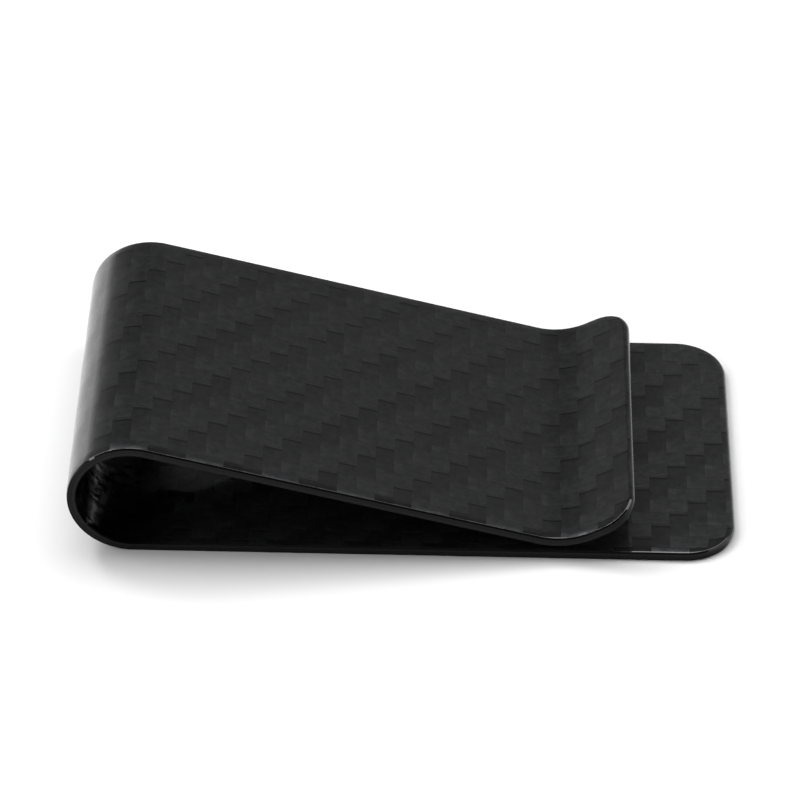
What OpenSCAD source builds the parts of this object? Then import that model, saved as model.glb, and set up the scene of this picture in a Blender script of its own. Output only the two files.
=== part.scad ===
// Carbon fibre money clip. One laminate is moulded into a flat base, a round
// bend and an arm that slopes down, nearly touches the base at its crest and
// then flares up into a lip.
//
// The laminate has seven plies: a 2x2 twill ply on each face and five
// unidirectional plies between them. Each ply is drawn in three zones, base,
// bend and arm, because the arm springs open about the bend.
//
// Frame: the base lies on z = 0, X runs along the clip from the bend to the
// open end, Y runs across it, and the origin is under the middle of the clip.
//
// "Outer" is the outside of the fold: the base's underside, the bend's outside
// and the arm's top. A depth is measured inwards from that surface.

/* [Overall size] */
// Length from the outside of the bend to the end of the base, mm
clip_length = 70; // [60:1:90]
// Width across the notes, mm
clip_width = 36.4; // [24:0.2:50]
// Outer radius of the bend, half of the clip's height, mm
bend_outer_r = 6.8; // [5:0.1:9]

/* [Laminate] */
// Thickness of each twill face ply, mm
face_ply_t = 0.225; // [0.15:0.005:0.3]
// Thickness of each unidirectional core ply, mm
core_ply_t = 0.12; // [0.08:0.01:0.16]

/* [Arm] */
// Slope of the arm down towards the base, degrees
arm_slope = 14.4; // [12:0.2:18]
// Gap left between the arm's crest and the base, mm
crest_gap = 0.6; // [0.2:0.1:1.5]
// Radius of the crest on the arm's top surface, mm
crest_r = 7.3; // [5:0.1:10]
// Rise of the lip above level, degrees
lip_rise = 28.8; // [20:0.2:40]
// Length of the lip's straight part, mm
lip_length = 5; // [4.5:0.1:8]

/* [Corners] */
// Radius of the two corners at the end of the base, mm
base_corner_r = 5.5; // [1:0.1:8]
// Radius of the two corners at the end of the lip, mm
lip_corner_r = 3.8; // [1:0.1:4.4]

/* [Hidden] */
$fn = 96;

core_plies = 5;
laminate_t = 2 * face_ply_t + core_plies * core_ply_t;

bend_centre_x = bend_outer_r - clip_length / 2;
bend_wrap = 180 + arm_slope;
base_length = clip_length - bend_outer_r;

// The crest curves round a line above the arm. The straight part of the arm is
// as long as it takes to bring the crest down to crest_gap above the base.
crest_turn = arm_slope + lip_rise;
crest_centre_z = laminate_t + crest_gap + laminate_t + crest_r;
crest_drop = bend_outer_r + (bend_outer_r + crest_r) * cos(arm_slope) - crest_centre_z;
arm_straight = crest_drop / sin(arm_slope);
crest_centre_x = bend_centre_x + (bend_outer_r + crest_r) * sin(arm_slope)
    + arm_straight * cos(arm_slope);
crest_steps = 24;

// Waste cut off a corner reaches this far past the laminate
spare = 1;

twill_colour = "#2f3033";
core_colour = "#1c1d1f";

// Depth of the outer side of ply n, where ply 0 is the outer twill ply
function ply_depth(n) =
    n == 0 ? 0
    : n <= core_plies + 1 ? face_ply_t + (n - 1) * core_ply_t
    : laminate_t;

function ply_t(n) = ply_depth(n + 1) - ply_depth(n);

// Point of the crest at a depth, turned back by angle from the start of the lip,
// in the lip's own frame: X along the lip, Y out of its top surface
function crest_point(depth, angle) =
    [0, crest_r] - (crest_r + depth) * [sin(angle), cos(angle)];

// Side view of the arm at a depth, from the lip's end back to the bend
function arm_line(depth) = [
    [lip_length, -depth],
    for (i = [0 : crest_steps]) crest_point(depth, crest_turn * i / crest_steps),
    crest_point(depth, crest_turn) + arm_straight * [-cos(crest_turn), sin(crest_turn)]
];

function reversed(list) = [for (i = [len(list) - 1 : -1 : 0]) list[i]];

// Waste outside a rounded corner, with the corner's tip at the origin
module corner_waste(r) {
    difference() {
        translate([-r, -r]) square(r + spare);
        translate([-r, -r]) circle(r);
    }
}

// Waste of ply n at both corners of an end that faces +X, with the end at x = 0
// and the ply on z = 0
module end_waste(n, r) {
    translate([0, 0, -spare]) linear_extrude(ply_t(n) + 2 * spare)
        for (side = [0, 1])
            mirror([0, side]) translate([0, clip_width / 2]) corner_waste(r);
}

// Ply n in the base
module base_run(n) {
    translate([bend_centre_x, 0, ply_depth(n)])
        difference() {
            translate([0, -clip_width / 2]) cube([base_length, clip_width, ply_t(n)]);
            translate([base_length, 0]) end_waste(n, base_corner_r);
        }
}

// Ply n round the bend
module bend_run(n) {
    translate([bend_centre_x, 0, bend_outer_r])
        rotate([90, 0, 0]) rotate([0, 0, 270 - bend_wrap])
            rotate_extrude(angle = bend_wrap)
                translate([bend_outer_r - ply_depth(n + 1), -clip_width / 2])
                    square([ply_t(n), clip_width]);
}

// Ply n down the arm, round the crest and up the lip
module arm_run(n) {
    translate([crest_centre_x, 0, crest_centre_z]) rotate([0, -lip_rise, 0])
        translate([0, 0, -crest_r])
            difference() {
                rotate([90, 0, 0]) linear_extrude(clip_width, center = true)
                    polygon(concat(arm_line(ply_depth(n)), reversed(arm_line(ply_depth(n + 1)))));
                translate([lip_length, 0, -ply_depth(n + 1)]) end_waste(n, lip_corner_r);
            }
}

module base_outer_twill_ply() { color(twill_colour) base_run(0); }
module base_core_ply_1() { color(core_colour) base_run(1); }
module base_core_ply_2() { color(core_colour) base_run(2); }
module base_core_ply_3() { color(core_colour) base_run(3); }
module base_core_ply_4() { color(core_colour) base_run(4); }
module base_core_ply_5() { color(core_colour) base_run(5); }
module base_inner_twill_ply() { color(twill_colour) base_run(6); }

module bend_outer_twill_ply() { color(twill_colour) bend_run(0); }
module bend_core_ply_1() { color(core_colour) bend_run(1); }
module bend_core_ply_2() { color(core_colour) bend_run(2); }
module bend_core_ply_3() { color(core_colour) bend_run(3); }
module bend_core_ply_4() { color(core_colour) bend_run(4); }
module bend_core_ply_5() { color(core_colour) bend_run(5); }
module bend_inner_twill_ply() { color(twill_colour) bend_run(6); }

module arm_outer_twill_ply() { color(twill_colour) arm_run(0); }
module arm_core_ply_1() { color(core_colour) arm_run(1); }
module arm_core_ply_2() { color(core_colour) arm_run(2); }
module arm_core_ply_3() { color(core_colour) arm_run(3); }
module arm_core_ply_4() { color(core_colour) arm_run(4); }
module arm_core_ply_5() { color(core_colour) arm_run(5); }
module arm_inner_twill_ply() { color(twill_colour) arm_run(6); }

base_outer_twill_ply();
base_core_ply_1();
base_core_ply_2();
base_core_ply_3();
base_core_ply_4();
base_core_ply_5();
base_inner_twill_ply();
bend_outer_twill_ply();
bend_core_ply_1();
bend_core_ply_2();
bend_core_ply_3();
bend_core_ply_4();
bend_core_ply_5();
bend_inner_twill_ply();
arm_outer_twill_ply();
arm_core_ply_1();
arm_core_ply_2();
arm_core_ply_3();
arm_core_ply_4();
arm_core_ply_5();
arm_inner_twill_ply();
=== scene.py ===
"""Looks of the carbon fibre money clip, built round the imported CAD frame.

The clip is one laminate of seven plies. Each ply is a closed strip in three zones, base, bend and
arm, like the CAD nodes that it replaces. A strip is swept along its zone from two coordinates:
s, the way along the outer surface of the fold, and depth, measured inwards from that surface.
"""

import math

import bpy
from mathutils import Matrix, Vector


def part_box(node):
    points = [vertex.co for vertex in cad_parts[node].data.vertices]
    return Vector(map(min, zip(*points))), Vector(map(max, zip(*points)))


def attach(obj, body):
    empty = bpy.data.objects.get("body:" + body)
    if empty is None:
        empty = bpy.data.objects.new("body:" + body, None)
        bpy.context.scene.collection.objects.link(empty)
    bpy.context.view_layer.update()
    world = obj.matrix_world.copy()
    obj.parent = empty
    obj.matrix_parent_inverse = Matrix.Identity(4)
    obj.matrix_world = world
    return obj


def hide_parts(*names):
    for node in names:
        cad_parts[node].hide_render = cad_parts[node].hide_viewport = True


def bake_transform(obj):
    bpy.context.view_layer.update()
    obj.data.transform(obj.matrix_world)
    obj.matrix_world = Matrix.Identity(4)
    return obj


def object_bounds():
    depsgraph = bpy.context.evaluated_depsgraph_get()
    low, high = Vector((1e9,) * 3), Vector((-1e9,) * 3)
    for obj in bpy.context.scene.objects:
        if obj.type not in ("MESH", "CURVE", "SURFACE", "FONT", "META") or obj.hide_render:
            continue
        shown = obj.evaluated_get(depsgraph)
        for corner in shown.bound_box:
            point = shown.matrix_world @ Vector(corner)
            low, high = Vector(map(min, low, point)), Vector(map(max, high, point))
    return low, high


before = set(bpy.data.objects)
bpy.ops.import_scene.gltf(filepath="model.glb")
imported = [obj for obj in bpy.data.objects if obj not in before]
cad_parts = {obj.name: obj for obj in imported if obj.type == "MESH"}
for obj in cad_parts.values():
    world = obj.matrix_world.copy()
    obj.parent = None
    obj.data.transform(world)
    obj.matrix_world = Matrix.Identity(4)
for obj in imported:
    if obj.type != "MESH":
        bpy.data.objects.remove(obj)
cad_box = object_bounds()

MM = 0.001

# ---------------------------------------------------------------- dimensions

# Driving dimensions of the CAD model that the node boxes don't give
ARM_SLOPE = math.radians(14.4)
LIP_RISE = math.radians(28.8)
CREST_R = 7.3 * MM
LIP_LENGTH = 5 * MM
BASE_CORNER_R = 5.5 * MM
LIP_CORNER_R = 3.8 * MM
CORE_PLIES = 5

# The rest comes from the frame
base_low, base_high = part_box("base_outer_twill_ply")
FACE_T = base_high.z
CORE_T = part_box("base_core_ply_1")[1].z - FACE_T
LAMINATE_T = 2 * FACE_T + CORE_PLIES * CORE_T
WIDTH = cad_box[1].y - cad_box[0].y
BEND_R = cad_box[1].z / 2
BEND_X = base_low.x
BASE_LENGTH = base_high.x - base_low.x
BEND_WRAP = math.pi + ARM_SLOPE
CREST_TURN = ARM_SLOPE + LIP_RISE
CREST_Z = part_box("arm_inner_twill_ply")[0].z + LAMINATE_T + CREST_R
ARM_STRAIGHT = (BEND_R + (BEND_R + CREST_R) * math.cos(ARM_SLOPE) - CREST_Z) / math.sin(ARM_SLOPE)
CREST_X = BEND_X + (BEND_R + CREST_R) * math.sin(ARM_SLOPE) + ARM_STRAIGHT * math.cos(ARM_SLOPE)
CREST_RUN = CREST_R * CREST_TURN
ARM_LENGTH = ARM_STRAIGHT + CREST_RUN + LIP_LENGTH

# Long edges of the two twill plies: the face falls off in a slight crown, then turns over a small
# radius into a 45 degree chamfer, which meets the cut wall
CROWN_REACH = 1.0 * MM
CROWN_LEAN = math.radians(7)
CROWN_STEPS = 4
ROUND_R = 0.08 * MM
ROUND_STEPS = 4
CHAMFER_LEAN = math.pi / 4
# The chamfer is wide on the edges that face up and slight on those that face down
WIDE_CHAMFER = 0.222 * MM
SLIGHT_CHAMFER = 0.09 * MM
# Turns of the bend, in radians, between which a face's chamfer changes from one to the other
OUTER_CHAMFER_TURNS = (1.2, 2.7)
INNER_CHAMFER_TURNS = (0.2, 1.2)
# The two ends are polished to a full round through all seven plies
NOSE_R = LAMINATE_T / 2
NOSE_STEPS = 3
# Lean past which the polished end shows bare resin in place of the weave
NOSE_BARE = math.radians(60)
# The higher the power, the later in a corner the long edge's profile gives way to the end's
CORNER_POWER = 6

# The weave: pitch of a tow, and where the first tow starts on each twill ply
TOW = 2.01 * MM
OUTER_WEAVE_START = (1.44, 0.4)
INNER_WEAVE_START = (0.0, 0.7)

# Faces across a strip, round a corner and along each run
ROWS = 18
CORNER_STEPS = 20
BASE_STEPS, BEND_STEPS, ARM_STEPS, CREST_STEPS, LIP_STEPS = 29, 108, 21, 28, 2
# Small steps along the fold and into it, in metres, that give the surface's directions
AHEAD, DEEPER = 1e-6, 1e-5

# ---------------------------------------------------------------- zones

# A zone's point gives X and Z, and its way gives the distance from the start of the bend, measured
# along the surface at that depth. The base lies behind the start, so its way is negative.


def base_point(s, depth):
    return BEND_X + s, depth


def base_way(s, depth):
    return -s


def bend_point(s, depth):
    turn, r = s / BEND_R, BEND_R - depth
    return BEND_X - r * math.sin(turn), BEND_R - r * math.cos(turn)


def bend_way(s, depth):
    return (BEND_R - depth) * s / BEND_R


def arm_point(s, depth):
    if s <= ARM_STRAIGHT:
        start_x, start_z = bend_point(BEND_R * BEND_WRAP, depth)
        return start_x + s * math.cos(ARM_SLOPE), start_z - s * math.sin(ARM_SLOPE)
    past = max(s - ARM_STRAIGHT - CREST_RUN, 0)
    slope = ARM_SLOPE - min((s - ARM_STRAIGHT) / CREST_R, CREST_TURN)
    r = CREST_R + depth
    return (
        CREST_X - r * math.sin(slope) + past * math.cos(slope),
        CREST_Z - r * math.cos(slope) - past * math.sin(slope),
    )


def arm_way(s, depth):
    start = (BEND_R - depth) * BEND_WRAP
    if s <= ARM_STRAIGHT:
        return start + s
    past = max(s - ARM_STRAIGHT - CREST_RUN, 0)
    turn = min((s - ARM_STRAIGHT) / CREST_R, CREST_TURN)
    return start + ARM_STRAIGHT + (CREST_R + depth) * turn + past


def spread(start, end, count):
    """count + 1 evenly spaced numbers from start to end."""
    return [start + (end - start) * i / count for i in range(count + 1)]


ZONES = {
    "base": {
        "point": base_point,
        "way": base_way,
        "stations": spread(0, BASE_LENGTH - BASE_CORNER_R, BASE_STEPS),
        "length": BASE_LENGTH,
        "corner_r": BASE_CORNER_R,
    },
    "bend": {
        "point": bend_point,
        "way": bend_way,
        "stations": spread(0, BEND_R * BEND_WRAP, BEND_STEPS),
        "length": BEND_R * BEND_WRAP,
        "corner_r": 0,
    },
    "arm": {
        "point": arm_point,
        "way": arm_way,
        "stations": spread(0, ARM_STRAIGHT, ARM_STEPS)[:-1]
        + spread(ARM_STRAIGHT, ARM_STRAIGHT + CREST_RUN, CREST_STEPS)[:-1]
        + spread(ARM_STRAIGHT + CREST_RUN, ARM_LENGTH - LIP_CORNER_R, LIP_STEPS),
        "length": ARM_LENGTH,
        "corner_r": LIP_CORNER_R,
    },
}


def long_edge(chamfer):
    """Edge of a twill ply along the clip, seen end-on: points from the face to the wall, each
    (reach from the start of the crown, depth, way, lean above, lean below)."""
    points = []
    for t in spread(0, 1, CROWN_STEPS):
        reach, drop = CROWN_REACH * t, CROWN_REACH * math.tan(CROWN_LEAN) * t * t / 2
        lean = math.atan(math.tan(CROWN_LEAN) * t)
        points.append((reach, drop, reach, lean, lean))
    crown_reach, crown_drop, crown_way = points[-1][:3]
    for lean in spread(CROWN_LEAN, CHAMFER_LEAN, ROUND_STEPS)[1:]:
        points.append((crown_reach + ROUND_R * (math.sin(lean) - math.sin(CROWN_LEAN)),
                       crown_drop + ROUND_R * (math.cos(CROWN_LEAN) - math.cos(lean)),
                       crown_way + ROUND_R * (lean - CROWN_LEAN), lean, lean))
    reach, drop, way = points[-1][:3]
    drop = chamfer - drop
    points.append((reach + drop / math.tan(CHAMFER_LEAN), chamfer,
                   way + drop / math.sin(CHAMFER_LEAN), CHAMFER_LEAN, math.pi / 2))
    reach, drop, way = points[-1][:3]
    points.append((reach, FACE_T, way + FACE_T - chamfer, math.pi / 2, math.pi / 2))
    return points


def nose(start, end, count):
    """The full round at an end of the clip, from one depth to another: (inset, depth, lean)."""
    leans = spread(math.acos(1 - start / NOSE_R), math.acos(max(1 - end / NOSE_R, -1)), count)
    return [(NOSE_R * (1 - math.sin(a)), NOSE_R * (1 - math.cos(a)), a) for a in leans]


def chamfer_at(zone_name, outer, s):
    """The long edge's chamfer, which changes between its two widths on the way round the bend."""
    turn = {"base": 0, "bend": s / BEND_R, "arm": BEND_WRAP}[zone_name]
    low, high = OUTER_CHAMFER_TURNS if outer else INNER_CHAMFER_TURNS
    share = min(max((turn - low) / (high - low), 0), 1)
    widths = (SLIGHT_CHAMFER, WIDE_CHAMFER) if outer else (WIDE_CHAMFER, SLIGHT_CHAMFER)
    return widths[0] + (widths[1] - widths[0]) * share * share * (3 - 2 * share)


def ply_levels(near, far, chamfer):
    """Levels from the near side of a ply to its far side, each a pair of dicts, for the clip's
    long edges and for its ends. A core ply has no chamfer.

    inset is the distance inwards from the outline, way the distance over the edge, and above and
    below the surface's lean on the two sides of the level. down is 0 where a twill ply's face
    ends and 1 where its cut wall starts, and on a core ply it is the depth in millimetres."""
    levels = []
    if chamfer:
        into = 1 if far > near else -1
        side = long_edge(chamfer)
        ends = nose(0, FACE_T, len(side) - 1)
        bare = side[-2][2] - CROWN_REACH
        for (reach, drop, way, above, below), (inset, end_drop, lean) in zip(side, ends):
            levels.append((
                {"inset": side[-1][0] - reach, "depth": near + into * drop, "way": way,
                 "down": (way - CROWN_REACH) / bare, "above": above, "below": below},
                {"inset": inset, "depth": near + into * end_drop, "way": NOSE_R * lean,
                 "down": NOSE_R * (lean - NOSE_BARE) / bare, "above": lean, "below": lean}))
    else:
        for inset, depth, lean in nose(near, far, NOSE_STEPS):
            levels.append((
                {"inset": 0, "depth": depth, "way": depth, "down": depth / MM,
                 "above": math.pi / 2, "below": math.pi / 2},
                {"inset": inset, "depth": depth, "way": depth, "down": depth / MM, "above": lean,
                 "below": lean}))
    return levels


def strip(name, zone_name, near, far, weave_start, weave_turn):
    """One ply in one zone, as a closed mesh. near is the depth of the side that is seen and far
    that of the side that is bonded."""
    zone = ZONES[zone_name]
    point, way, r = zone["point"], zone["way"], zone["corner_r"]
    twill, outer = weave_start is not None, far > near
    into = 1 if outer else -1
    forward = -1 if zone_name == "base" else 1
    start = weave_start or (0, 0)
    corners = spread(0, math.pi / 2, CORNER_STEPS)[1:] if r else []
    last = len(zone["stations"]) + len(corners) - 1
    levels = {s: ply_levels(near, far, chamfer_at(zone_name, outer, s) if twill else None)
              for s in zone["stations"]}
    bottom = len(levels[zone["stations"][0]]) - 1

    def at(level, i, j):
        """A point's share of the end's profile, its profile values, s, y and direction outwards,
        as shares along the fold and across it."""
        row = 2 * j / ROWS - 1
        turn = corners[i - len(zone["stations"])] if i >= len(zone["stations"]) else 0
        share = math.sin(turn) ** CORNER_POWER
        flat_s = zone["stations"][min(i, len(zone["stations"]) - 1)]
        side, end = levels[flat_s][level]
        values = {key: side[key] + (end[key] - side[key]) * share for key in side}
        half = WIDTH / 2 - r + (r - values["inset"]) * math.cos(turn)
        if turn:
            s = zone["length"] - r + (r - values["inset"]) * math.sin(turn)
        else:
            s = flat_s
        edge_side = (j == ROWS) - (j == 0)
        out = (1, 0) if i == last and r else (math.sin(turn), edge_side * math.cos(turn))
        return share, values, s, row * half, out

    # The free edge: down one side, round the end and back, or the two sides of the bend
    sides = [(i, 0) for i in range(last + 1)], [(i, ROWS) for i in range(last, -1, -1)]
    loops = [sides[0] + [(last, j) for j in range(1, ROWS)] + sides[1]] if r else list(sides)
    along = {}
    for loop in loops:
        run, before = 0, None
        for i, j in loop:
            _, _, s, y, _ = at(bottom, i, j)
            here = Vector((way(s, near), y))
            run += (here - before).length if before else 0
            before = here
            along[i, j] = run

    verts, ups, outs, leans, weave, edge, polish, index = [], [], [], [], [], [], [], {}

    def place(level, i, j):
        share, values, s, y, (out_s, out_y) = at(level, i, j)
        depth = values["depth"]
        x, z = point(s, depth)
        further, deeper = point(s + AHEAD, depth), point(s, depth + DEEPER)
        ahead = Vector((further[0] - x, 0, further[1] - z)).normalized()
        index[level, i, j] = len(verts)
        verts.append(Vector((x, y, z)))
        ups.append(Vector((x - deeper[0], 0, z - deeper[1])).normalized() * into)
        outs.append(ahead * out_s + Vector((0, out_y, 0)))
        leans.append((values["above"], values["below"]))
        # The weave carries on over the edge
        u = way(s, near) + forward * out_s * values["way"]
        v = y + out_y * values["way"]
        weave.append((weave_turn * u / TOW + start[0], v / TOW + start[1]))
        edge.append((along.get((i, j), 0) / MM, values["down"]))
        polish.append(share)

    for i in range(last + 1):
        for j in range(ROWS + 1):
            place(0, i, j)
            place(bottom, i, j)
    for level in range(1, bottom):
        for i, j in along:
            place(level, i, j)

    faces, normals, edge_uv = [], [], []

    def add(keys, leaning=None, normal=None, on_edge=False):
        """A face, shaded by its corners' leans or by one normal, and wound to face that way."""
        ids = [index[key] for key in keys]
        if normal:
            shading = [normal] * len(ids)
        else:
            shading = [(ups[k] * math.cos(a) + outs[k] * math.sin(a)).normalized()
                       for k, a in zip(ids, leaning)]
        facing = sum(((verts[q] - verts[ids[0]]).cross(verts[p] - verts[ids[0]])
                      for q, p in zip(ids[1:], ids[2:])), Vector())
        order = list(range(len(ids)))
        if facing.dot(sum(shading, Vector())) < 0:
            order.reverse()
        faces.append([ids[k] for k in order])
        normals.extend(shading[k] for k in order)
        edge_uv.extend(edge[ids[k]] if on_edge else (0, -1) for k in order)

    for i in range(last):
        for j in range(ROWS):
            quad = [(i, j), (i + 1, j), (i + 1, j + 1), (i, j + 1)]
            near_quad = [(0, *q) for q in quad]
            add(near_quad, leaning=[leans[index[q]][0] for q in near_quad])
            add([(bottom, *q) for q in quad], leaning=[math.pi] * 4)
    for loop in loops:
        for here, there in zip(loop, loop[1:]):
            for level in range(bottom):
                keys = [(level, *here), (level, *there), (level + 1, *there), (level + 1, *here)]
                add(keys, leaning=[leans[index[key]][key[0] == level] for key in keys],
                    on_edge=True)
    # Flat ends where the zone meets its neighbours
    for i in [0] if r else [0, last]:
        x, z = point(zone["stations"][i], near)
        beyond = point(zone["stations"][i] + (AHEAD if i else -AHEAD), near)
        outward = Vector((beyond[0] - x, 0, beyond[1] - z)).normalized()
        for j in range(ROWS):
            add([(0, i, j), (0, i, j + 1), (bottom, i, j + 1), (bottom, i, j)], normal=outward)
        for j in (0, ROWS):
            add([(level, i, j) for level in range(bottom + 1)], normal=outward)

    mesh = bpy.data.meshes.new(name)
    mesh.from_pydata(verts, [], faces)
    for map_name in ("Weave", "Edge"):
        mesh.uv_layers.new(name=map_name)
    weave_map, edge_map = mesh.uv_layers["Weave"], mesh.uv_layers["Edge"]
    for k, corner in enumerate(mesh.loops):
        weave_map.uv[k].vector = weave[corner.vertex_index]
        edge_map.uv[k].vector = edge_uv[k]
    mesh.attributes.new("Polish", "FLOAT", "POINT").data.foreach_set("value", polish)
    mesh.shade_smooth()
    mesh.normals_split_custom_set(normals)
    obj = bpy.data.objects.new(name, mesh)
    bpy.context.scene.collection.objects.link(obj)
    return obj


# ---------------------------------------------------------------- materials


class Nodes:
    """Builds a node tree from short calls."""

    def __init__(self, tree):
        self.tree = tree
        tree.nodes.clear()

    def put(self, socket, value):
        if hasattr(value, "is_output"):
            self.tree.links.new(value, socket)
        else:
            socket.default_value = value

    def math(self, operation, *values):
        node = self.tree.nodes.new("ShaderNodeMath")
        node.operation = operation
        for socket, value in zip(node.inputs, values):
            self.put(socket, value)
        return node.outputs[0]

    def ramp(self, value, low, high, to_low=0.0, to_high=1.0, smooth=True):
        node = self.tree.nodes.new("ShaderNodeMapRange")
        node.interpolation_type = "SMOOTHSTEP" if smooth else "LINEAR"
        for socket, v in zip(node.inputs, (value, low, high, to_low, to_high)):
            self.put(socket, v)
        return node.outputs[0]

    def mix(self, share, a, b):
        node = self.tree.nodes.new("ShaderNodeMix")
        node.data_type = "FLOAT"
        for name, v in (("Factor", share), ("A", a), ("B", b)):
            self.put(node.inputs[name], v)
        return node.outputs[0]

    def mix_colour(self, share, a, b):
        node = self.tree.nodes.new("ShaderNodeMix")
        node.data_type = "RGBA"
        self.put(node.inputs[0], share)
        self.put(node.inputs[6], a)
        self.put(node.inputs[7], b)
        return node.outputs[2]

    def product(self, first, *others):
        for other in others:
            first = self.math("MULTIPLY", first, other)
        return first

    def vary(self, value, low, high, by):
        """A factor from 1 - by to 1 + by, as the value goes from low to high."""
        return self.ramp(value, low, high, 1.0 - by, 1.0 + by, False)

    def vector(self, x, y, z=0.0):
        node = self.tree.nodes.new("ShaderNodeCombineXYZ")
        for socket, v in zip(node.inputs, (x, y, z)):
            self.put(socket, v)
        return node.outputs[0]

    def uv(self, name):
        node = self.tree.nodes.new("ShaderNodeUVMap")
        node.uv_map = name
        split = self.tree.nodes.new("ShaderNodeSeparateXYZ")
        self.tree.links.new(node.outputs[0], split.inputs[0])
        return split.outputs[0], split.outputs[1]

    def attribute(self, name):
        node = self.tree.nodes.new("ShaderNodeAttribute")
        node.attribute_name = name
        return node.outputs["Fac"]

    def noise(self, vector, scale=1.0, detail=2.0, rough=0.5):
        node = self.tree.nodes.new("ShaderNodeTexNoise")
        self.put(node.inputs["Vector"], vector)
        self.put(node.inputs["Scale"], scale)
        self.put(node.inputs["Detail"], detail)
        self.put(node.inputs["Roughness"], rough)
        return node.outputs[0]

    def grain(self, u, v, per_u, per_v, seed, detail, rough=0.5):
        """Noise with its own scale along each of two coordinates."""
        stretched = self.vector(self.product(u, per_u), self.product(v, per_v), seed)
        return self.noise(stretched, 1.0, detail, rough)

    def random(self, x, y, z=0.0):
        node = self.tree.nodes.new("ShaderNodeTexWhiteNoise")
        self.put(node.inputs["Vector"], self.vector(x, y, z))
        return node.outputs[0]

    def bump(self, height, strength, distance):
        node = self.tree.nodes.new("ShaderNodeBump")
        self.put(node.inputs["Height"], height)
        self.put(node.inputs["Strength"], strength)
        self.put(node.inputs["Distance"], distance)
        return node.outputs[0]


class Shader(Nodes):
    """A new material, with its Principled shader."""

    def __init__(self, name):
        self.material = bpy.data.materials.new(name)
        self.material.use_nodes = True
        super().__init__(self.material.node_tree)
        out = self.tree.nodes.new("ShaderNodeOutputMaterial")
        self.shader = self.tree.nodes.new("ShaderNodeBsdfPrincipled")
        self.tree.links.new(self.shader.outputs[0], out.inputs["Surface"])


def colour(value):
    """A grey with the slight blue cast of carbon."""
    return value, 1.02 * value, 1.06 * value, 1


# What most of a noise's values lie between
NOISE = (0.3, 0.7)
# Roughness of the noises that have fine lines in them
FINE = 0.6

# Reflectance of a lengthwise float, of a crosswise float and of the core's cut
LENGTHWISE_LIGHT, CROSSWISE_LIGHT, CORE_LIGHT = 0.0288, 0.0110, 0.0075
LENGTHWISE_ROUGH, CROSSWISE_ROUGH, WALL_ROUGH = 0.30, 0.50, 0.55
# How much smoother a gap full of resin is, and how far the filaments change the roughness
GAP_SMOOTHS, LINES_ROUGHEN = 0.12, 0.14
# How metallic a lengthwise float is
SHEEN = 0.8
# The tows' sway: scale of the noise, sway in tows, seed
SWAYS = ((0.35, 0.12, 0.0), (2.3, 0.035, 4.0))
# The filaments' noise per tow along the filaments and across them, and its share of the relief
LINES_ALONG, LINES_ACROSS, LINES_HEIGHT = 0.9, 22.0, 0.12
MOTTLE_SCALE = 2.1
# How far each factor of the tone strays from 1
CROSSWISE_VARIES, FLOAT_VARIES, TOW_VARIES = 0.07, 0.05, 0.03
LINES_VARY, MOTTLE_VARIES = 0.14, 0.36
# Painted highlight on a float where it rises, and on the tow that laps over a crosswise float's far
# end
RISE_HIGHLIGHT, LAP_HIGHLIGHT = 1.22, 1.25
# Shares of a crosswise float's length: where the next tow laps over it, and the line of resin with
# its painted shade
LAP = (0.905, 0.94)
FAR_LINE, FAR_LINE_WIDTH = 0.885, 0.05
# How much the line of resin, darkened further as painted shade, and a tow's two sides darken the
# tone
FAR_LINE_SHADE_DARKENS, SIDE_DARKENS = 0.85, 0.12
# Strength and distance of the relief of the tows and of the cut core, and the share of the cut
# wall's own relief
TOW_BUMP, CORE_BUMP, WALL_RELIEF = (0.35, 0.03 * MM), (0.3, 0.005 * MM), 0.15
# Tone of the bare resin over the edge. The Edge map's V passes 1 where the cut wall starts, and
# WALL_MM turns it into rough millimetres.
RESIN_TONE = 0.05
WALL_STARTS = 1.002
WALL_MM = 0.2
# Tone of the core's middle ply, and the painted shade and painted light of the plies on its outer
# and inner sides
MIDDLE_TONE, OUTER_SIDE_PAINTED_SHADE, INNER_SIDE_PAINTED_LIGHT = 0.40, 0.85, 2.1
# Tone of the painted shade, and most coat, on the inside of the bend
INSIDE_SHADE_TONE, INSIDE_COAT = 0.2, 0.35

FLOOR_TONE = 0.84


def cut_wall(n, along, down):
    """Tone and height of a sawn and sanded edge, from millimetres along it and down it."""
    streaks = n.grain(along, down, 1.2, 26.0, 0.0, 3.0, FINE)
    specks = n.grain(along, down, 9.0, 14.0, 2.0, 2.0)
    tone = n.product(n.ramp(streaks, *NOISE, 0.70, 1.25, False), n.vary(specks, *NOISE, 0.15))
    return tone, n.math("ADD", streaks, specks)


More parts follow.
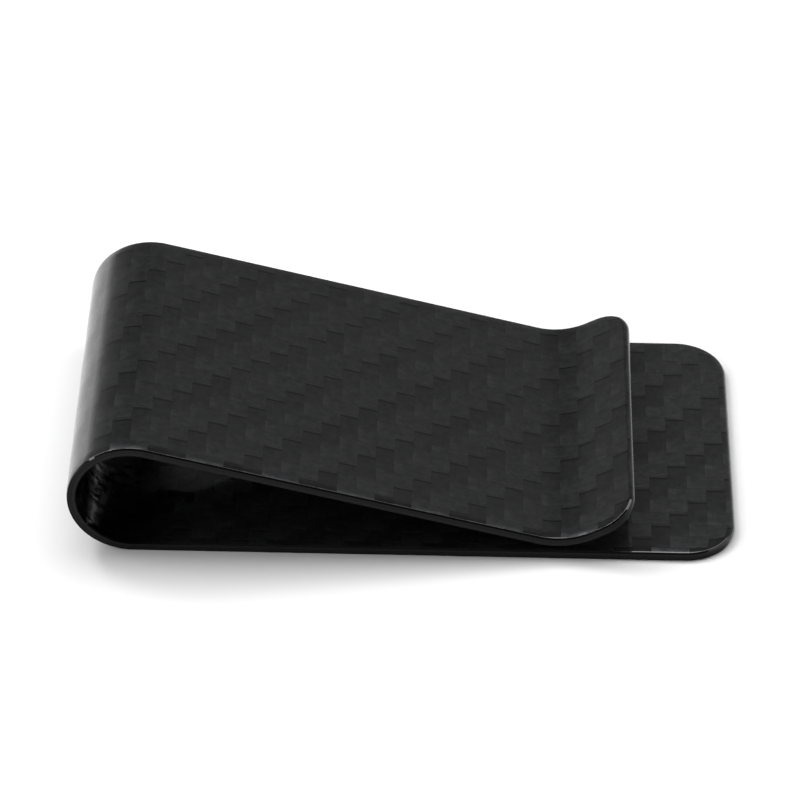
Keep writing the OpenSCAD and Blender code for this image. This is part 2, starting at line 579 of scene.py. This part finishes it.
def twill_material(name, coat_ior, light, wall_tone, bend=None):
    """2x2 twill of 3K tows under clear epoxy. U runs along the clip and V across it, in tows. light
    multiplies the tone of the tows. bend is the U at each end of the inside of the bend, which is
    duller: painted darker as shade, with patchy gloss."""
    n = Shader(name)
    u, v = n.uv("Weave")
    edge_along, down = n.uv("Edge")
    plain_u, plain_v = u, v

    # Tows aren't quite straight
    for scale, by, seed in SWAYS:
        sway_u = n.noise(n.vector(u, v, seed), scale, 1.0)
        sway_v = n.noise(n.vector(v, u, seed + 7.0), scale, 1.0)
        u = n.math("MULTIPLY_ADD", n.math("SUBTRACT", sway_u, 0.5), by, u)
        v = n.math("MULTIPLY_ADD", n.math("SUBTRACT", sway_v, 0.5), by, v)

    # The cell, and whether the tow on top in it runs lengthwise or crosswise. Each float is two
    # cells long: lengthwise in steps 0 and 1, crosswise in steps 3 and 2.
    i, j = n.math("FLOOR", u), n.math("FLOOR", v)
    fu, fv = n.math("FRACT", u), n.math("FRACT", v)
    step = n.math("FLOORED_MODULO", n.math("SUBTRACT", i, j), 4.0)
    lengthwise = n.math("LESS_THAN", step, 1.5)
    crosswise = n.math("SUBTRACT", 1.0, lengthwise)
    along_l = n.product(n.math("ADD", step, fu), 0.5)
    along_c = n.product(n.math("ADD", n.math("SUBTRACT", 3.0, step), fv), 0.5)
    along = n.mix(lengthwise, along_c, along_l)
    across = n.mix(lengthwise, fu, fv)

    # Numbers of the float and of its tow, for their own tone
    start_i = n.mix(lengthwise, i, n.math("SUBTRACT", i, step))
    start_j = n.mix(lengthwise, n.math("SUBTRACT", j, n.math("SUBTRACT", 3.0, step)), j)
    own = n.random(start_i, start_j, lengthwise)
    tow_own = n.random(n.mix(lengthwise, i, j), lengthwise, 3.0)

    # Filaments run along each tow
    lines_l = n.grain(u, v, LINES_ALONG, LINES_ACROSS, 1.0, 3.0, FINE)
    lines_c = n.grain(u, v, LINES_ACROSS, LINES_ALONG, 5.0, 3.0, FINE)
    lines = n.mix(lengthwise, lines_c, lines_l)
    mottle = n.noise(n.vector(u, v, 9.0), MOTTLE_SCALE, 4.0, 0.75)

    # A tow is highest along its middle and dives under its neighbours at both ends
    side = n.math("ABSOLUTE", n.math("MULTIPLY_ADD", across, 2.0, -1.0))
    end = n.math("ABSOLUTE", n.math("MULTIPLY_ADD", along, 2.0, -1.0))
    crown = n.math("SUBTRACT", 1.0, n.math("POWER", side, 3.0))
    dive = n.math("SUBTRACT", 1.0, n.math("POWER", end, 4.0))
    height = n.math("MULTIPLY_ADD", lines, LINES_HEIGHT, n.product(crown, dive))

    # Lengthwise floats have a metallic sheen and a painted highlight where they rise. Crosswise ones
    # are
    #  dull, with a painted highlight where they rise and painted shade growing towards where they
    #  dive. The next lengthwise tow laps over their far end with a painted highlight, behind a line
    #  of resin darkened as painted shade.
    tone_l = n.mix(n.ramp(along_l, 0.0, 0.3), RISE_HIGHLIGHT, n.vary(along_l, 0.3, 1.0, 0.02))
    tone_c = n.mix(n.ramp(along_c, 0.0, 0.25), RISE_HIGHLIGHT,
                   n.ramp(along_c, 0.25, 0.9, 1.0, 0.86, False))
    tone_c = n.product(tone_c, n.vary(own, 0.0, 1.0, CROSSWISE_VARIES))
    tone_c = n.mix(n.ramp(along_c, *LAP), tone_c, LAP_HIGHLIGHT)
    tone = n.mix(lengthwise, n.product(tone_c, CROSSWISE_LIGHT), n.product(tone_l, LENGTHWISE_LIGHT))
    tone = n.product(tone, light, n.vary(own, 0.0, 1.0, FLOAT_VARIES),
                     n.vary(tow_own, 0.0, 1.0, TOW_VARIES), n.vary(lines, *NOISE, LINES_VARY),
                     n.vary(mottle, *NOISE, MOTTLE_VARIES))
    # The line of resin at a crosswise float's far end is darkened further as painted shade where the
    # tow dives; the tows' sides are dark joints
    from_line = n.math("ABSOLUTE", n.math("SUBTRACT", along_c, FAR_LINE))
    far_shade_line = n.product(crosswise, n.ramp(from_line, 0.0, FAR_LINE_WIDTH, 1.0, 0.0))
    gap_and_shade = n.math("MAXIMUM", n.product(far_shade_line, FAR_LINE_SHADE_DARKENS),
                 n.product(n.ramp(side, 0.86, 1.0), SIDE_DARKENS))
    tone = n.product(tone, n.math("SUBTRACT", 1.0, gap_and_shade))

    # The inside of the bend is painted dark, a painted shade for the hollow of the fold. It was
    # moulded
    #  against a mandrel, so its gloss is patchy. Shade and gloss fade into the arm and the base over
    #  a few tows.
    if bend:
        inside_shade_and_gloss = n.product(n.ramp(plain_u, bend[0] - 1.0, bend[0] + 2.0),
                           n.ramp(plain_u, bend[1] - 1.0, bend[1] + 4.0, 1.0, 0.0))
        tone = n.product(tone, n.mix(inside_shade_and_gloss, 1.0, INSIDE_SHADE_TONE))

    # Over the edge only dark resin shows, and then the cut wall, which has no coat
    tone = n.product(tone, n.ramp(down, 0.0, 0.25, 1.0, RESIN_TONE))
    wall = n.math("GREATER_THAN", down, WALL_STARTS)
    coated = n.math("SUBTRACT", 1.0, wall)
    wall_streaks, wall_height = cut_wall(n, edge_along, n.product(down, WALL_MM))
    tone = n.mix(wall, tone, n.product(wall_streaks, wall_tone))
    rough = n.mix(lengthwise, CROSSWISE_ROUGH, LENGTHWISE_ROUGH)
    rough = n.math("MULTIPLY_ADD", gap_and_shade, -GAP_SMOOTHS, rough)
    rough = n.math("MULTIPLY_ADD", n.math("SUBTRACT", lines, 0.5), LINES_ROUGHEN, rough)
    height = n.mix(wall, height, n.product(wall_height, WALL_RELIEF))
    n.put(n.shader.inputs["Base Color"], n.mix_colour(tone, colour(0.0), colour(1.0)))
    n.put(n.shader.inputs["Roughness"], n.mix(wall, rough, WALL_ROUGH))
    n.put(n.shader.inputs["Metallic"], n.product(lengthwise, SHEEN, coated))
    n.put(n.shader.inputs["Normal"], n.bump(height, *TOW_BUMP))
    coat = coated
    if bend:
        patches = n.grain(plain_u, plain_v, 1.5, 2.5, 3.0, 4.0, 0.7)
        coat = n.product(coat, n.mix(inside_shade_and_gloss, 1.0, n.ramp(patches, 0.38, 0.66, 0.0, INSIDE_COAT)))
    n.put(n.shader.inputs["Coat Weight"], coat)
    n.shader.inputs["Coat Roughness"].default_value = 0.04
    n.shader.inputs["Coat IOR"].default_value = coat_ior
    n.shader.inputs["Specular IOR Level"].default_value = 0.0
    # Under resin a tow hardly brightens towards grazing angles
    n.shader.inputs["Specular Tint"].default_value = (0.5, 0.5, 0.5, 1)
    return n.material


def core_material():
    """Cut edges of the unidirectional plies: matte grey, with fine streaks from the cutter."""
    n = Shader("carbon_core_cut")
    along, depth = n.uv("Edge")
    tone, height = cut_wall(n, along, depth)
    # The middle ply lies across the others, so its cut is darker. The cut is painted a little darker
    # on the outer side of the
    #  fold, as painted shade, and much lighter past the middle ply on the inner side, as painted
    #  light. The coat covers the polished ends only.
    from_middle = n.math("ABSOLUTE", n.math("SUBTRACT", depth, LAMINATE_T / 2 / MM))
    tone = n.product(tone, n.ramp(from_middle, 0.05, 0.08, MIDDLE_TONE, 1.0),
                     n.ramp(depth, 0.55, 0.62, OUTER_SIDE_PAINTED_SHADE, INNER_SIDE_PAINTED_LIGHT))
    n.put(n.shader.inputs["Base Color"], n.mix_colour(tone, colour(0.0), colour(CORE_LIGHT)))
    n.put(n.shader.inputs["Roughness"], n.ramp(tone, 0.6, 1.3, 0.62, 0.52, False))
    n.put(n.shader.inputs["Normal"], n.bump(height, *CORE_BUMP))
    n.put(n.shader.inputs["Coat Weight"], n.attribute("Polish"))
    n.shader.inputs["Coat Roughness"].default_value = 0.06
    n.shader.inputs["Specular IOR Level"].default_value = 0.15
    return n.material


def floor_material():
    n = Shader("floor_paper")
    n.shader.inputs["Base Color"].default_value = (FLOOR_TONE, FLOOR_TONE, FLOOR_TONE, 1)
    n.shader.inputs["Roughness"].default_value = 0.9
    n.shader.inputs["Specular IOR Level"].default_value = 0.1
    return n.material


# The inner ply's cut wall is painted lighter than the outer ply's, as painted light on the edge that
# catches light
OUTER_TWILL = twill_material("carbon_twill_outer", coat_ior=1.5, light=1.0, wall_tone=0.0085)
INNER_TWILL = twill_material("carbon_twill_inner", coat_ior=1.65, light=1.35, wall_tone=0.020,
                             bend=(-(BEND_R - LAMINATE_T) * BEND_WRAP / TOW, 0.0))
CORE = core_material()

# ---------------------------------------------------------------- the clip

# Name, and depth of the side that is seen and of the side that is bonded
PLIES = [("outer_twill_ply", 0, FACE_T)]
for k in range(CORE_PLIES):
    PLIES.append((f"core_ply_{k + 1}", FACE_T + k * CORE_T, FACE_T + (k + 1) * CORE_T))
PLIES.append(("inner_twill_ply", LAMINATE_T, LAMINATE_T - FACE_T))

# Material, start of the weave and which way it runs
LOOKS = {
    "outer_twill_ply": (OUTER_TWILL, OUTER_WEAVE_START, 1),
    "inner_twill_ply": (INNER_TWILL, INNER_WEAVE_START, -1),
}

for zone_name in ZONES:
    for ply, near, far in PLIES:
        material, weave_start, weave_turn = LOOKS.get(ply, (CORE, None, 1))
        node = f"{zone_name}_{ply}"
        piece = strip(f"{node}_look", zone_name, near, far, weave_start, weave_turn)
        piece.data.materials.append(material)
        if zone_name == "bend":
            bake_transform(piece)
        else:
            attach(piece, zone_name)
        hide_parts(node)

# ---------------------------------------------------------------- stage, light and camera

FLOOR_REACH = 0.4

floor_mesh = bpy.data.meshes.new("floor")
floor_mesh.from_pydata([(x * FLOOR_REACH, y * FLOOR_REACH, 0)
                        for x, y in ((-1, -1), (1, -1), (1, 1), (-1, 1))], [], [(0, 1, 2, 3)])
floor = bpy.data.objects.new("floor", floor_mesh)
floor_mesh.materials.append(floor_material())
bpy.context.scene.collection.objects.link(floor)

# The room: a bright horizon, dim higher up, and a little lighter to the right than to the left.
# Each pair is the height of a direction, from 0 at the horizon to 1 overhead, and its brightness.
GLOW = ((0.0, 1.08), (0.05, 0.80), (0.10, 0.56), (0.18, 0.37), (0.27, 0.28), (0.35, 0.22),
        (0.42, 0.18), (0.50, 0.14), (0.60, 0.12), (0.67, 0.07), (1.0, 0.07))
RIGHT_GLOW = 0.12

world = bpy.data.worlds.new("studio")
bpy.context.scene.world = world
world.use_nodes = True
n = Nodes(world.node_tree)
where = n.tree.nodes.new("ShaderNodeTexCoord")
split = n.tree.nodes.new("ShaderNodeSeparateXYZ")
n.tree.links.new(where.outputs["Generated"], split.inputs[0])
glow = n.tree.nodes.new("ShaderNodeValToRGB")
n.tree.links.new(split.outputs[2], glow.inputs[0])
while len(glow.color_ramp.elements) < len(GLOW):
    glow.color_ramp.elements.new(0.5)
for element, (at, value) in zip(glow.color_ramp.elements, GLOW):
    element.position = at
    element.color = (value, value, value, 1)
# The light from the right ends short of overhead
rightwards = n.product(n.ramp(split.outputs[0], -0.15, 0.45, 0.0, RIGHT_GLOW, False),
                       n.ramp(split.outputs[2], 0.62, 0.68, 1.0, 0.0))
background = n.tree.nodes.new("ShaderNodeBackground")
n.put(background.inputs[0], n.math("ADD", glow.outputs[0], rightwards))
out = n.tree.nodes.new("ShaderNodeOutputWorld")
n.tree.links.new(background.outputs[0], out.inputs[0])


def softbox(name, place, size, power):
    """An area light aimed at the clip."""
    light = bpy.data.lights.new(name, "AREA")
    light.shape = "RECTANGLE"
    light.size, light.size_y = size
    light.energy = power
    obj = bpy.data.objects.new(name, light)
    bpy.context.scene.collection.objects.link(obj)
    obj.location = place
    obj.rotation_euler = Vector(place).to_track_quat("Z", "Y").to_euler()


softbox("key", (0.0, 0.2, 0.6), (1.0, 0.4), 4.2)
softbox("fill_left", (-0.5, -0.06, 0.33), (0.5, 0.3), 2.0)
softbox("fill_back", (-0.36, 0.28, 0.5), (0.18, 0.18), 1.2)
softbox("fill_right", (0.5, 0.0, 0.33), (0.5, 0.35), 0.25)

# The camera, fitted to the clip's outline
AZIMUTH = math.radians(0.683)
ELEVATION = math.radians(38.131)
ROLL = math.radians(0.71)
DISTANCE = 467.0 * MM
LOOK_AT = Vector((-0.667, 0.387, 6.103)) * MM
LENS, SENSOR = 196.04, 36

back = Vector((math.sin(AZIMUTH) * math.cos(ELEVATION), -math.cos(AZIMUTH) * math.cos(ELEVATION),
               math.sin(ELEVATION)))
right = Vector((math.cos(AZIMUTH), math.sin(AZIMUTH), 0))
up = back.cross(right)
right, up = (right * math.cos(ROLL) + up * math.sin(ROLL),
             up * math.cos(ROLL) - right * math.sin(ROLL))
camera_data = bpy.data.cameras.new("camera")
camera_data.lens = LENS
camera_data.sensor_width = SENSOR
camera_data.clip_start = 0.01
camera = bpy.data.objects.new("camera", camera_data)
bpy.context.scene.collection.objects.link(camera)
camera.matrix_world = Matrix.Translation(LOOK_AT + back * DISTANCE) @ Matrix(
    (right, up, back)).transposed().to_4x4()
bpy.context.scene.camera = camera

view = bpy.context.scene.view_settings
view.view_transform = "Standard"
view.look = "None"
view.exposure = 0
view.gamma = 1
